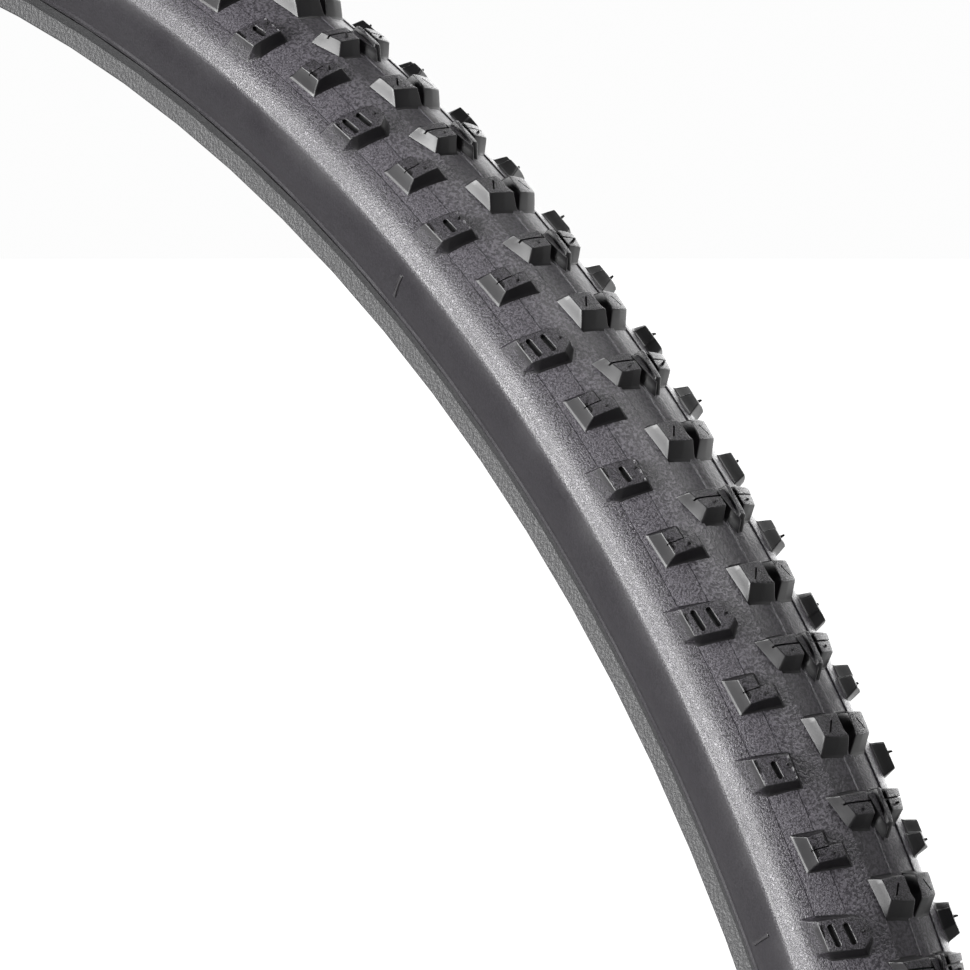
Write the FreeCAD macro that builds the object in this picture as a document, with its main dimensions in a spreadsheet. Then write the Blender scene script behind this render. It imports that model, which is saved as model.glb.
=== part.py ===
import FreeCAD, Part
import os
import Sketcher
from math import asin, cos, degrees, radians, sin, sqrt
from FreeCAD import Placement, Rotation, Vector

# Knobbly clincher tyre, ETRTO 33-622. The origin is the wheel centre, the tyre spins about Y,
# Z is up, and the left side faces -Y. Sizes are millimetres and degrees.

os.makedirs("parts", exist_ok=True)
doc = FreeCAD.newDocument("bicycle_tire")
sheet = doc.addObject("Spreadsheet::Sheet", "Sizes")

SIZES = [
    ("bead_seat_radius", 311.0, "622 mm bead seat"),
    ("rim_line_radius", 316.5, "where the tyre leaves the rim's hooks"),
    ("section_centre", 327.0, "radius at which the tyre is widest"),
    ("crown_arc", 17.55, "section radius across the crown"),
    ("shoulder_arc", 8.13, "section radius over each shoulder"),
    ("shoulder_offset", 8.0, "shoulder arc's centre, from the middle plane"),
    ("breaker_angle", 46.0, "section angle of the breaker's edge"),
    ("mould_line_angle", 52.7, "section angle of the mould line beside the shoulder knobs"),
    ("recess_half_width", 5.33, "half width of the smooth centre recess"),
    ("recess_depth", 0.25, "depth of the centre recess"),
    ("rib_half_width", 1.1, "half width of the rib along the crown"),
    ("rubber_gauge", 1.2, "tread base and sidewall rubber"),
    ("breaker_gauge", 0.4, "puncture breaker"),
    ("ply_gauge", 0.4, "each casing ply"),
    ("liner_gauge", 0.6, "airtight liner"),
    ("bead_face", 10.25, "bead's outer face, from the middle plane"),
    ("bead_toe", 5.7, "bead's inner edge, from the middle plane"),
    ("chafer_gauge", 0.5, "rubberised strip around the bead"),
    ("chafer_base", 0.9, "chafer under the bead core"),
    ("bead_core_radius", 1.0, "aramid hoop's section radius"),
    ("bead_core_height", 2.0, "hoop's centre above the bead seat"),
    ("bead_top", 3.2, "top of the bead above the bead seat"),
    ("rim_rib_height", 0.45, "rim line rib"),
    ("knob_height", 2.2, "every knob above the tread"),
    ("ledge_height", 1.6, "low ledge beside each centre bar"),
    ("knob_pitches", 156.0, "knob pitches around the tyre"),
    ("sipe_width", 0.35, "moulded cuts in the knobs"),
    ("slot_width", 0.75, "slots in the shoulder knobs"),
    ("slot_depth", 0.7, "depth of slots and sipes"),
    ("first_knob_angle", 2.27, "where the knob count starts, up from +X"),
    ("vent_radius", 0.28, "vent hair"),
    ("vent_length", 1.3, "vent hair above its knob"),
]
for row, (alias, number, note) in enumerate(SIZES, 1):
    sheet.set(f"A{row}", alias)
    sheet.set(f"B{row}", str(number))
    sheet.set(f"C{row}", note)
    sheet.setAlias(f"B{row}", alias)
doc.recompute()


class Size:
    """A number together with the spreadsheet expression that drives it."""

    def __init__(self, number, text):
        self.number = number
        self.text = text

    def __add__(self, other):
        other = as_size(other)
        return Size(self.number + other.number, f"({self.text} + {other.text})")

    def __sub__(self, other):
        other = as_size(other)
        return Size(self.number - other.number, f"({self.text} - {other.text})")

    def __mul__(self, other):
        other = as_size(other)
        return Size(self.number * other.number, f"({self.text} * {other.text})")

    def __truediv__(self, other):
        other = as_size(other)
        return Size(self.number / other.number, f"({self.text} / {other.text})")

    def root(self):
        return Size(sqrt(self.number), f"sqrt({self.text})")


def as_size(value):
    return value if isinstance(value, Size) else Size(float(value), repr(float(value)))


def size(alias):
    return Size(float(sheet.get(alias)), f"Sizes.{alias}")


def square(value):
    return value * value


# ---------------------------------------------------------------- section outline
# The section is a crown arc, a shoulder arc each side and a sidewall arc below each shoulder,
# all tangent. A layer at depth d below the outside keeps the same centres.

centre = size("section_centre")
crown_arc = size("crown_arc")
shoulder_arc = size("shoulder_arc")
shoulder_offset = size("shoulder_offset")
half_width = shoulder_offset + shoulder_arc
crown_centre = centre - (square(crown_arc - shoulder_arc) - square(shoulder_offset)).root()
crown_sine = shoulder_offset / (crown_arc - shoulder_arc)
crown_cosine = (as_size(1) - square(crown_sine)).root()
CROWN_ANGLE = degrees(asin(crown_sine.number))
BREAKER_ANGLE = float(sheet.get("breaker_angle"))
MOULD_ANGLE = float(sheet.get("mould_line_angle"))
LEFT = -1
RIGHT = 1
SIDES = {"left": LEFT, "right": RIGHT}

rim_line = size("rim_line_radius")
seat = size("bead_seat_radius")
rubber = size("rubber_gauge")
ply = size("ply_gauge")
outer_ply_depth = rubber
inner_ply_depth = rubber + ply
liner_depth = inner_ply_depth + ply
bore_depth = liner_depth + size("liner_gauge")


def crown_edge(side, depth):
    """Where crown arc and shoulder arc meet, at a depth below the outside."""
    reach = crown_arc - depth
    return crown_centre + reach * crown_cosine, reach * crown_sine * side


def widest(side, depth):
    return centre, (half_width - depth) * side


def on_sidewall(side, depth, radius):
    """The sidewall arc's point at a given wheel radius."""
    reach = half_width - depth
    return radius, (square(reach) - square(centre - radius)).root() * side


def on_crown(across, depth):
    """The crown arc's point at a given distance from the middle plane."""
    return crown_centre + (square(crown_arc - depth) - square(across)).root(), across


def crown_curve(depth):
    return crown_centre, as_size(0), crown_arc - depth


def shoulder_curve(side, depth):
    return centre, shoulder_offset * side, shoulder_arc - depth


def sidewall_curve(depth):
    return centre, as_size(0), half_width - depth


def curve_at(angle, depth):
    """The arc that holds a section angle; angles are positive on the right side."""
    if abs(angle) < CROWN_ANGLE:
        return crown_curve(depth)
    if abs(angle) < 90:
        return shoulder_curve(LEFT if angle < 0 else RIGHT, depth)
    return sidewall_curve(depth)


def at_angle(angle, depth, alias=None):
    """The section's point at an angle, which a spreadsheet cell may drive."""
    side = LEFT if angle < 0 else RIGHT
    text = f"Sizes.{alias}" if alias else repr(abs(angle))
    sine = Size(sin(radians(abs(angle))), f"sin({text})")
    cosine = Size(cos(radians(angle)), f"cos({text})")
    x, y, reach = curve_at(angle, depth)
    return x + reach * cosine, y + reach * sine * side


# Every layer's surface is divided at the same angles, so neighbouring layers keep their gauge.
CROWN_STOPS = [BREAKER_ANGLE * part for part in (0.25, 0.5, 0.75, 1.0)]
FLANK_STOPS = [68.0, 79.0, 90.0, 98.0, 106.0, 114.0, 122.0]
HALF_STOPS = CROWN_STOPS + [CROWN_ANGLE] + FLANK_STOPS
STOPS = [-stop for stop in HALF_STOPS[::-1]] + [0.0] + HALF_STOPS
END_GAP = 3.0
RIM_ANGLE = 133.0
RIB_ANGLE = 125.0


def stop_corner(angle, depth):
    side = LEFT if angle < 0 else RIGHT
    if abs(angle) == CROWN_ANGLE:
        return crown_edge(side, depth)
    if abs(angle) == 90:
        return widest(side, depth)
    return at_angle(angle, depth)


def surface(depth, start, finish):
    """Corners and arcs of a layer's surface between two (section angle, corner) ends."""
    (first, first_corner), (last, last_corner) = start, finish
    low, high = min(first, last) + END_GAP, max(first, last) - END_GAP
    stops = sorted([stop for stop in STOPS if low < stop < high], reverse=first > last)
    angles = [first] + stops + [last]
    corners = [first_corner] + [stop_corner(stop, depth) for stop in stops] + [last_corner]
    curves = [curve_at((a + b) / 2, depth) for a, b in zip(angles, angles[1:])]
    return corners, curves


def rim_end(side, depth):
    return RIM_ANGLE * side, on_sidewall(side, depth, rim_line)


def mould_end(side, depth):
    return MOULD_ANGLE * side, at_angle(MOULD_ANGLE * side, depth, "mould_line_angle")


def breaker_end(side, depth):
    return BREAKER_ANGLE * side, at_angle(BREAKER_ANGLE * side, depth, "breaker_angle")


def crown_end(across, depth):
    """An end on the crown arc, at a distance from the middle plane."""
    angle = degrees(asin(across.number / (crown_arc - depth).number))
    return angle, on_crown(across, depth)


# ---------------------------------------------------------------- revolved layers

def add_profile(body, corners, curves):
    """A closed sketch: x is the wheel radius and y runs along the spin axis.

    curves[i] is None for a straight edge after corner i, or the edge's centre and radius."""
    sketch = body.newObject("Sketcher::SketchObject", body.Name + "_section")
    plane = [item for item in body.Origin.OriginFeatures if item.Role == "XY_Plane"][0]
    sketch.AttachmentSupport = [(plane, "")]
    sketch.MapMode = "FlatFace"
    count = len(corners)
    first_end = []
    for index in range(count):
        x0, y0 = corners[index]
        x1, y1 = corners[(index + 1) % count]
        start = Vector(x0.number, y0.number, 0)
        end = Vector(x1.number, y1.number, 0)
        if curves[index] is None:
            sketch.addGeometry(Part.LineSegment(start, end), False)
            first_end.append(1)
            continue
        cx, cy, radius = curves[index]
        middle = Vector(cx.number, cy.number, 0)
        turns_left = (start - middle).cross(end - middle).z > 0
        low, high = (start, end) if turns_left else (end, start)
        circle = Part.Circle(middle, Vector(0, 0, 1), radius.number)
        arc = Part.ArcOfCircle(circle, circle.parameter(low), circle.parameter(high))
        sketch.addGeometry(arc, False)
        first_end.append(1 if turns_left else 2)
    for index in range(count):
        following = (index + 1) % count
        last_end = 3 - first_end[index]
        pair = (index, last_end, following, first_end[following])
        sketch.addConstraint(Sketcher.Constraint("Coincident", *pair))
    for index, (x, y) in enumerate(corners):
        drive(sketch, "DistanceX", (-1, 1, index, first_end[index]), x)
        drive(sketch, "DistanceY", (-1, 1, index, first_end[index]), y)
        if curves[index] is not None:
            drive(sketch, "Radius", (index,), curves[index][2])
    return sketch


def drive(sketch, kind, items, value):
    """Adds a constraint whose value follows the spreadsheet."""
    number = sketch.addConstraint(Sketcher.Constraint(kind, *items, value.number))
    sketch.setExpression(f"Constraints[{number}]", value.text)


def revolve(name, corners, curves, hole=None):
    """One ring-shaped piece: its section turned about the spin axis."""
    body = doc.addObject("PartDesign::Body", name)
    body.Label = name
    sketch = add_profile(body, corners, curves)
    if hole is not None:
        x, y, radius = hole
        circle = Part.Circle(Vector(x.number, y.number, 0), Vector(0, 0, 1), radius.number)
        index = sketch.addGeometry(circle, False)
        drive(sketch, "DistanceX", (-1, 1, index, 3), x)
        drive(sketch, "DistanceY", (-1, 1, index, 3), y)
        drive(sketch, "Radius", (index,), radius)
    turn = body.newObject("PartDesign::Revolution", name + "_turn")
    turn.Profile = sketch
    turn.ReferenceAxis = (sketch, ["V_Axis"])
    turn.Angle = 360
    sketch.Visibility = False
    body.Tip = turn
    return body


def layer(name, depth_out, depth_in, leg_out, leg_in):
    """A layer of the casing from bead to bead; its legs are the corners beside each bead."""
    outside, outer_arcs = surface(depth_out, rim_end(RIGHT, depth_out), rim_end(LEFT, depth_out))
    inside, inner_arcs = surface(depth_in, rim_end(LEFT, depth_in), rim_end(RIGHT, depth_in))
    left_leg = [(x, y * LEFT) for x, y in leg_out + leg_in[::-1]]
    right_leg = leg_in + leg_out[::-1]
    corners = outside + left_leg + inside + right_leg
    curves = outer_arcs + [None] * (len(left_leg) + 1)
    curves += inner_arcs + [None] * (len(right_leg) + 1)
    return revolve(name, corners, curves)


# Upright faces inside the bead, from the middle plane: chafer, outer ply, filler, inner ply,
# liner and chafer again.
bead_outside = size("bead_face") - size("chafer_gauge")
filler_outside = bead_outside - ply
bead_inside = size("bead_toe") + size("chafer_gauge")
liner_outside = bead_inside + size("liner_gauge")
filler_inside = liner_outside + ply
bead_bottom = seat + size("chafer_base")
bead_top = seat + size("bead_top")

layer(
    "casing_ply_outer", outer_ply_depth, inner_ply_depth,
    [(bead_top, bead_outside), (bead_bottom, bead_outside)],
    [(bead_top, filler_outside), (bead_bottom, filler_outside)],
)
layer(
    "casing_ply_inner", inner_ply_depth, liner_depth,
    [(bead_top, filler_inside), (bead_bottom, filler_inside)],
    [(bead_top, liner_outside), (bead_bottom, liner_outside)],
)
layer(
    "inner_liner", liner_depth, bore_depth,
    [(bead_top, liner_outside), (bead_bottom, liner_outside)],
    [(bead_top, bead_inside), (bead_bottom, bead_inside)],
)


def bead_pieces(word, side):
    """Aramid hoop, the filler around it and the chafer that wraps the bead."""
    core_x = seat + size("bead_core_height")
    core_y = (filler_inside + filler_outside) / 2 * side
    core_radius = size("bead_core_radius")
    core = doc.addObject("Part::Torus", f"bead_core_{word}")
    core.Label = f"bead_core_{word}"
    core.Placement = Placement(Vector(0, core_y.number, 0), Rotation(Vector(1, 0, 0), 90))
    core.setExpression("Radius1", core_x.text)
    core.setExpression("Radius2", core_radius.text)
    core.setExpression("Placement.Base.y", core_y.text)
    filler = [on_sidewall(side, inner_ply_depth, rim_line)]
    filler += [(x, y * side) for x, y in [
        (bead_top, filler_outside), (bead_bottom, filler_outside),
        (bead_bottom, filler_inside), (bead_top, filler_inside)]]
    revolve(f"bead_filler_{word}", filler, [None] * len(filler), (core_x, core_y, core_radius))
    chamfer = size("chafer_gauge") * 0.6
    face = size("bead_face")
    toe = size("bead_toe")
    wrap = [on_sidewall(side, as_size(0), rim_line), on_sidewall(side, rubber, rim_line)]
    wrap += [(x, y * side) for x, y in [
        (bead_top, bead_outside), (bead_bottom, bead_outside), (bead_bottom, bead_inside),
        (bead_top - 1.0, bead_inside), (bead_top - 1.0, toe), (seat + chamfer, toe),
        (seat, toe + chamfer), (seat, face - chamfer), (seat + chamfer, face), (bead_top, face)]]
    revolve(f"chafer_{word}", wrap, [None] * len(wrap))


def sidewall(word, side):
    """Rubber from the mould line to the rim, with the rim line rib near its lower edge."""
    rib = size("rim_rib_height")
    rib_foot = on_sidewall(side, skin, rim_line + 1.9)
    rib_toe = on_sidewall(side, skin, rim_line + 0.7)
    outside, outer_arcs = surface(skin, mould_end(side, skin), (RIB_ANGLE * side, rib_foot))
    inside, inner_arcs = surface(rubber, rim_end(side, rubber), mould_end(side, rubber))
    rib_top = [(rim_line + 1.5, rib_foot[1] + rib * side), (rim_line + 1.0, rib_toe[1] + rib * side)]
    corners = outside + rib_top + [rib_toe, on_sidewall(side, skin, rim_line)] + inside
    curves = outer_arcs + [None, None, None, sidewall_curve(skin), None] + inner_arcs + [None]
    revolve(f"sidewall_{word}", corners, curves)


def shoulder_strip(word, side):
    """Tread rubber from the centre recess to the mould line, stepped over the breaker's edge."""
    across = recess_edge * side
    outside, outer_arcs = surface(skin, crown_end(across, skin), mould_end(side, skin))
    step, step_arcs = surface(rubber, mould_end(side, rubber), breaker_end(side, rubber))
    inner_ends = breaker_end(side, breaker_top), crown_end(across, breaker_top)
    inside, inner_arcs = surface(breaker_top, *inner_ends)
    corners = outside + step + inside
    curves = outer_arcs + [None] + step_arcs + [None] + inner_arcs + [None]
    revolve(f"tread_shoulder_{word}", corners, curves)


skin = as_size(0)
breaker_top = rubber - size("breaker_gauge")
recess_edge = size("recess_half_width")
for word, side in SIDES.items():
    bead_pieces(word, side)
    sidewall(word, side)
    shoulder_strip(word, side)

# Centre strip: a shallow recess with a rib along the crown.
recess = size("recess_depth")
rib_edge = size("rib_half_width")
STRIP_RUNS = [
    (recess, recess_edge, rib_edge),
    (skin, rib_edge, rib_edge * LEFT),
    (recess, rib_edge * LEFT, recess_edge * LEFT),
    (breaker_top, recess_edge * LEFT, recess_edge),
]
strip = []
strip_curves = []
for depth, start, finish in STRIP_RUNS:
    run, run_arcs = surface(depth, crown_end(start, depth), crown_end(finish, depth))
    strip += run
    strip_curves += run_arcs + [None]
revolve("tread_centre_strip", strip, strip_curves)

belt, belt_arcs = surface(breaker_top, breaker_end(RIGHT, breaker_top), breaker_end(LEFT, breaker_top))
under, under_arcs = surface(rubber, breaker_end(LEFT, rubber), breaker_end(RIGHT, rubber))
revolve("breaker_belt", belt + under, belt_arcs + [None] + under_arcs + [None])
doc.recompute()

# ---------------------------------------------------------------- knobs
# A knob outline is a list of (pitches around the tyre, section angle) corners: its foot on the
# tread and its top. Angles grow from the crown to the left sidewall; the right side is mirrored.

PITCH = 360.0 / float(sheet.get("knob_pitches"))
FIRST_KNOB = float(sheet.get("first_knob_angle"))
HEIGHT = float(sheet.get("knob_height"))
LEDGE = float(sheet.get("ledge_height"))
SPIN_AXIS = Vector(0, 1, 0)
ORIGIN = Vector(0, 0, 0)
SPARE = 1.6


def on_section(angle, height):
    """Wheel radius and distance to the left of the middle plane, at a height above the tread."""
    turn = radians(angle)
    if abs(angle) <= CROWN_ANGLE:
        reach = crown_arc.number + height
        return crown_centre.number + reach * cos(turn), reach * sin(turn)
    if angle > 90:
        reach = half_width.number + height
        return centre.number + reach * cos(turn), reach * sin(turn)
    reach = shoulder_arc.number + height
    return centre.number + reach * cos(turn), shoulder_offset.number + reach * sin(turn)


def place(pitches, angle, height):
    radius, across = on_section(angle, height)
    spin = radians(PITCH * pitches)
    return Vector(radius * cos(spin), -across, -radius * sin(spin))


def turned(shape, degrees_up):
    """A copy turned about the spin axis from +X toward +Z."""
    return shape.rotated(ORIGIN, SPIN_AXIS, -degrees_up)


def solid_wedge(corners, curves):
    """A short length of a revolved section, long enough for one knob."""
    edges = []
    for index, (x0, y0) in enumerate(corners):
        x1, y1 = corners[(index + 1) % len(corners)]
        start = Vector(x0.number, y0.number, 0)
        end = Vector(x1.number, y1.number, 0)
        if curves[index] is None:
            edges.append(Part.makeLine(start, end))
            continue
        cx, cy, radius = curves[index]
        middle = Vector(cx.number, cy.number, 0)
        outward = ((start + end) * 0.5 - middle).normalize()
        edges.append(Part.Arc(start, middle + outward * radius.number, end).toShape())
    face = Part.Face(Part.Wire(edges))
    return turned(face.revolve(ORIGIN, SPIN_AXIS, 4 * PITCH), 2 * PITCH)


core_corners = [widest(RIGHT, skin), crown_edge(RIGHT, skin), on_crown(recess_edge, skin)]
core_corners += [on_crown(recess_edge, recess), on_crown(rib_edge, recess), on_crown(rib_edge, skin)]
core_corners += [(x, y * LEFT) for x, y in core_corners[::-1]]
core_corners += [on_sidewall(LEFT, skin, rim_line), on_sidewall(RIGHT, skin, rim_line)]
core_curves = [shoulder_curve(RIGHT, skin), crown_curve(skin), None, crown_curve(recess), None]
core_curves += [crown_curve(skin)] + core_curves[4::-1][:4] + [shoulder_curve(LEFT, skin)]
core_curves += [sidewall_curve(skin), None, sidewall_curve(skin)]
core = solid_wedge(core_corners, core_curves)


def space_below(height):
    """The space over the tread up to a height, where knobs can stand."""
    lid = height * -1
    corners = [widest(RIGHT, lid), crown_edge(RIGHT, lid), crown_edge(LEFT, lid), widest(LEFT, lid)]
    corners += [(rim_line, widest(LEFT, lid)[1]), (rim_line, widest(RIGHT, lid)[1])]
    curves = [shoulder_curve(RIGHT, lid), crown_curve(lid), shoulder_curve(LEFT, lid)] + [None] * 3
    return solid_wedge(corners, curves).cut(core)


knob_space = space_below(size("knob_height"))
ledge_space = space_below(size("ledge_height"))


def frame_at(pitches, angle):
    """A local frame on the tread: its place, and unit vectors along it, across it and out of it."""
    spot = place(pitches, angle, 0)
    out = (place(pitches, angle, 1) - spot).normalize()
    along = (place(pitches + 0.1, angle, 0) - place(pitches - 0.1, angle, 0)).normalize()
    return spot, along, out.cross(along), out


def knob(foot, crest, height, space):
    """One knob: straight walls through the foot and crest corners, on the tread's surface."""
    pitches = sum(corner[0] for corner in foot) / len(foot)
    angle = sum(corner[1] for corner in foot) / len(foot)
    spot, out = frame_at(pitches, angle)[::3]
    rings = []
    for level in (-SPARE, height + SPARE):
        ring = []
        for foot_corner, crest_corner in zip(foot, crest):
            low = place(*foot_corner, 0)
            high = place(*crest_corner, height)
            rise = (high - low).dot(out)
            share = (level - (low - spot).dot(out)) / rise
            ring.append(low + (high - low) * share)
        rings.append(Part.makePolygon(ring + ring[:1]))
    return Part.makeLoft(rings, True, True).common(space)


def cut_slot(start, end, width, rounded):
    """A tool for a slot or sipe between two places on a knob's top."""
    spot, out = frame_at((start[0] + end[0]) / 2, (start[1] + end[1]) / 2)[::3]
    depth = float(sheet.get("slot_depth"))
    first = place(*start, HEIGHT)
    last = place(*end, HEIGHT)
    run = last - first
    run = run - out * run.dot(out)
    length = run.Length
    run.normalize()
    side = out.cross(run)
    middle = (first + last) * 0.5
    bottom = middle + out * (HEIGHT - depth - (middle - spot).dot(out))
    corner = bottom - run * (length / 2) - side * (width / 2)
    floor_ring = [corner, corner + run * length]
    floor_ring += [floor_ring[1] + side * width, corner + side * width]
    tool = Part.Face(Part.makePolygon(floor_ring + floor_ring[:1])).extrude(out * (depth + SPARE))
    if rounded:
        for centre_spot in (bottom - run * (length / 2), bottom + run * (length / 2)):
            tool = tool.fuse(Part.makeCylinder(width / 2, depth + SPARE, centre_spot, out))
    return tool.removeSplitter()


SLOT = float(sheet.get("slot_width"))
SIPE = float(sheet.get("sipe_width"))

# Shoulder knobs: the walls lean down the sidewall and end in two pointed ramps past the mould line.
single_slot = knob(
    [(-0.434, 34.2), (-0.003, 34.7), (-0.053, 52.1), (-0.152, 59.7), (-0.583, 63.3), (-0.548, 52.8)],
    [(-0.393, 36.1), (-0.057, 36.4), (-0.111, 47.8), (-0.127, 51.4), (-0.488, 52.1), (-0.466, 48.2)],
    HEIGHT, knob_space,
).cut(cut_slot((-0.342, 44.2), (-0.171, 43.7), SLOT, True))
double_slot = knob(
    [(-0.321, 29.6), (-0.08, 29.3), (0.062, 34.2), (-0.018, 51.8), (-0.14, 59.7), (-0.573, 63.3),
     (-0.548, 52.8), (-0.424, 34.1)],
    [(-0.312, 31.3), (-0.106, 31.0), (-0.002, 36.2), (-0.065, 48.2), (-0.087, 51.7), (-0.467, 52.3),
     (-0.448, 48.2), (-0.383, 35.6)],
    HEIGHT, knob_space,
)
for slot_ends in (((-0.318, 40.8), (-0.107, 39.9)), ((-0.36, 47.7), (-0.135, 46.9))):
    double_slot = double_slot.cut(cut_slot(*slot_ends, SLOT, True))
stepped = knob(
    [(-0.253, 26.1), (0.03, 25.8), (-0.055, 48.1), (-0.515, 49.2), (-0.459, 33.5), (-0.283, 33.1)],
    [(-0.23, 29.0), (-0.059, 28.9), (-0.082, 42.3), (-0.413, 43.1), (-0.405, 35.8), (-0.238, 35.5)],
    HEIGHT, knob_space,
).cut(cut_slot((-0.229, 27.2), (-0.244, 43.6), SIPE, False))

# Centre knobs: a chevron half with a slanting sipe, and a block with a crosswise sipe.
chevron = knob(
    [(-0.771, 3.6), (-0.50, 3.3), (-0.235, 0.5), (-0.265, 9.1), (-0.294, 17.6), (-0.782, 20.1)],
    [(-0.694, 3.8), (-0.474, 3.5), (-0.399, 2.1), (-0.405, 7.9), (-0.444, 15.9), (-0.71, 16.9)],
    HEIGHT, knob_space,
).cut(cut_slot((-0.625, 8.7), (-0.484, 12.4), SIPE, False))
split_block = knob(
    [(-0.802, 6.9), (-0.342, 6.6), (-0.356, 11.8), (-0.395, 19.5), (-0.813, 25.1)],
    [(-0.725, 6.2), (-0.464, 6.0), (-0.468, 10.6), (-0.48, 16.9), (-0.745, 21.4)],
    HEIGHT, knob_space,
).cut(cut_slot((-0.602, 2.9), (-0.649, 24.2), SIPE, False))

# Centre bar: a narrow full-height bar with a low ledge along its left side.
ledge = knob(
    [(-0.785, 5.6), (-0.381, 3.6), (-0.167, 0.8), (-0.21, -1.4), (-0.76, -1.6)],
    [(-0.716, 4.5), (-0.35, 1.0), (-0.29, 0.0), (-0.30, -1.4), (-0.72, -1.6)],
    LEDGE, ledge_space,
)
centre_bar = knob(
    [(-0.79, -5.6), (-0.32, -5.4), (-0.191, -3.7), (-0.20, -2.0), (-0.31, 0.3), (-0.78, -0.4)],
    [(-0.747, -3.8), (-0.40, -3.8), (-0.32, -3.0), (-0.322, -1.2), (-0.335, -0.1), (-0.745, -0.8)],
    HEIGHT, knob_space,
).fuse(ledge).removeSplitter()


def repeat(shape, every, first):
    """Copies of a knob right round the tyre: one every so many pitches."""
    count = int(float(sheet.get("knob_pitches"))) // every
    angles = [FIRST_KNOB - PITCH * (first + every * turn) for turn in range(count)]
    return Part.makeCompound([turned(shape, angle) for angle in angles])


def add_group(name, shape):
    group = doc.addObject("Part::Feature", name)
    group.Label = name
    group.Shape = shape
    group.Placement = Placement()
    return group


def hair(pitches, angle, sink):
    """A vent hair that grows out of a knob's top."""
    out = frame_at(pitches, angle)[3]
    radius = float(sheet.get("vent_radius"))
    length = float(sheet.get("vent_length"))
    return Part.makeCylinder(radius, length, place(pitches, angle, HEIGHT - sink), out)


def mirrored(shape):
    return shape.mirror(ORIGIN, SPIN_AXIS)


# Vent hairs stand on the knobs' tops; a hair's foot is trimmed by the knob that it stands on.
HAIRS = [
    (single_slot, 4, 0, (-0.273, 38.3)),
    (double_slot, 4, 2, (-0.202, 34.3)),
    (stepped, 2, 1, (-0.142, 34.3)),
    (split_block, 2, 1, (-0.547, 11.8)),
]
vent_groups = [repeat(hair(*spot, 0.3).cut(shape), every, first) for shape, every, first, spot in HAIRS]
vents = Part.makeCompound([solid for group in vent_groups for solid in group.Solids])

FAMILIES = {
    "shoulder_knobs_single_slot": repeat(single_slot, 4, 0),
    "shoulder_knobs_double_slot": repeat(double_slot, 4, 2),
    "shoulder_knobs_stepped": repeat(stepped, 2, 1),
    "chevron_knobs": repeat(chevron, 2, 0),
    "split_block_knobs": repeat(split_block, 2, 1),
    "vent_hairs": vents,
}
for family, shape in FAMILIES.items():
    add_group(family + "_left", shape)
    add_group(family + "_right", mirrored(shape))
add_group("centre_bar_knobs", repeat(centre_bar, 2, 1))
doc.recompute()

# ---------------------------------------------------------------- checks and files
for item in doc.Objects:
    if "Invalid" in item.State or "Error" in item.State:
        raise SystemExit(f"{item.Name} failed: {item.State}")
PIECE_TYPES = ("PartDesign::Body", "Part::Torus", "Part::Feature")
pieces = [item for item in doc.Objects if item.TypeId in PIECE_TYPES]
for piece in pieces:
    if piece.Shape.isNull() or not piece.Shape.isValid() or not piece.Shape.Solids:
        raise SystemExit(f"{piece.Label} has no valid solid")
for piece in pieces:
    piece.Shape.exportStep(f"parts/{piece.Label}.step")
    print(f"{piece.Label}: {len(piece.Shape.Solids)} solids, {piece.Shape.Volume:.0f} mm3")
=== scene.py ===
import random
from math import asin, atan2, ceil, cos, hypot, pi, radians, sin, sqrt

import bpy
import numpy as np
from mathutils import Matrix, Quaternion, Vector
from mathutils.geometry import delaunay_2d_cdt


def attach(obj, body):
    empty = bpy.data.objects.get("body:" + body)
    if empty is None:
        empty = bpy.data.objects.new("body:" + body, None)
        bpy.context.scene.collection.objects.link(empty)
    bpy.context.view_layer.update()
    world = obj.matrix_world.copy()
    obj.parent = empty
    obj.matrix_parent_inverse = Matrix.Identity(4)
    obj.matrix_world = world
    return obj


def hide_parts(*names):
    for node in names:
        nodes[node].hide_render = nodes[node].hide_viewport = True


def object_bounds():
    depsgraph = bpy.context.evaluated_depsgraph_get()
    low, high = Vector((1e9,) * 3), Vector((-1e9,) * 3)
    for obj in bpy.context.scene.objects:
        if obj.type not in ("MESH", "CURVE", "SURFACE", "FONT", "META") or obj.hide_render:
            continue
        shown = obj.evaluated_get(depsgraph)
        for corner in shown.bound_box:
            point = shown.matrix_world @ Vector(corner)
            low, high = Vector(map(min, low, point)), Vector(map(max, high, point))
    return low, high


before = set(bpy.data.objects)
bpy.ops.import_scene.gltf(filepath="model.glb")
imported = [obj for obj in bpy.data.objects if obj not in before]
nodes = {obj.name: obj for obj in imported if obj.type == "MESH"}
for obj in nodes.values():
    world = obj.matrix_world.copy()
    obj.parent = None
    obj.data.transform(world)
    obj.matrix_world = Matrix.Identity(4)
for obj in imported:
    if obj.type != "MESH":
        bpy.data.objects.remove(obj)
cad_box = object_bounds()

# Knobbed clincher tyre 33-622. Lengths here are millimetres until they are turned into a mesh.
# The tyre spins about Y, Z is up, and the left side faces -Y, toward the camera.

MM = 0.001
random.seed(622)

# ---------------------------------------------------------------- the tyre's section
# Tread places are given flat: along the tyre, across it from the middle plane, and height above
# the tread. The crown, shoulder and sidewall arcs of the CAD section bend them round.

SECTION_CENTRE = 327.0
CROWN_ARC = 17.55
SHOULDER_ARC = 8.13
SHOULDER_OFFSET = 8.0
SIDEWALL_ARC = SHOULDER_OFFSET + SHOULDER_ARC
CROWN_TURN = asin(SHOULDER_OFFSET / (CROWN_ARC - SHOULDER_ARC))
CROWN_CENTRE = SECTION_CENTRE - sqrt((CROWN_ARC - SHOULDER_ARC) ** 2 - SHOULDER_OFFSET ** 2)
CROWN_RADIUS = CROWN_CENTRE + CROWN_ARC
CROWN_REACH = CROWN_ARC * CROWN_TURN
WIDEST_REACH = CROWN_REACH + SHOULDER_ARC * (pi / 2 - CROWN_TURN)

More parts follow.
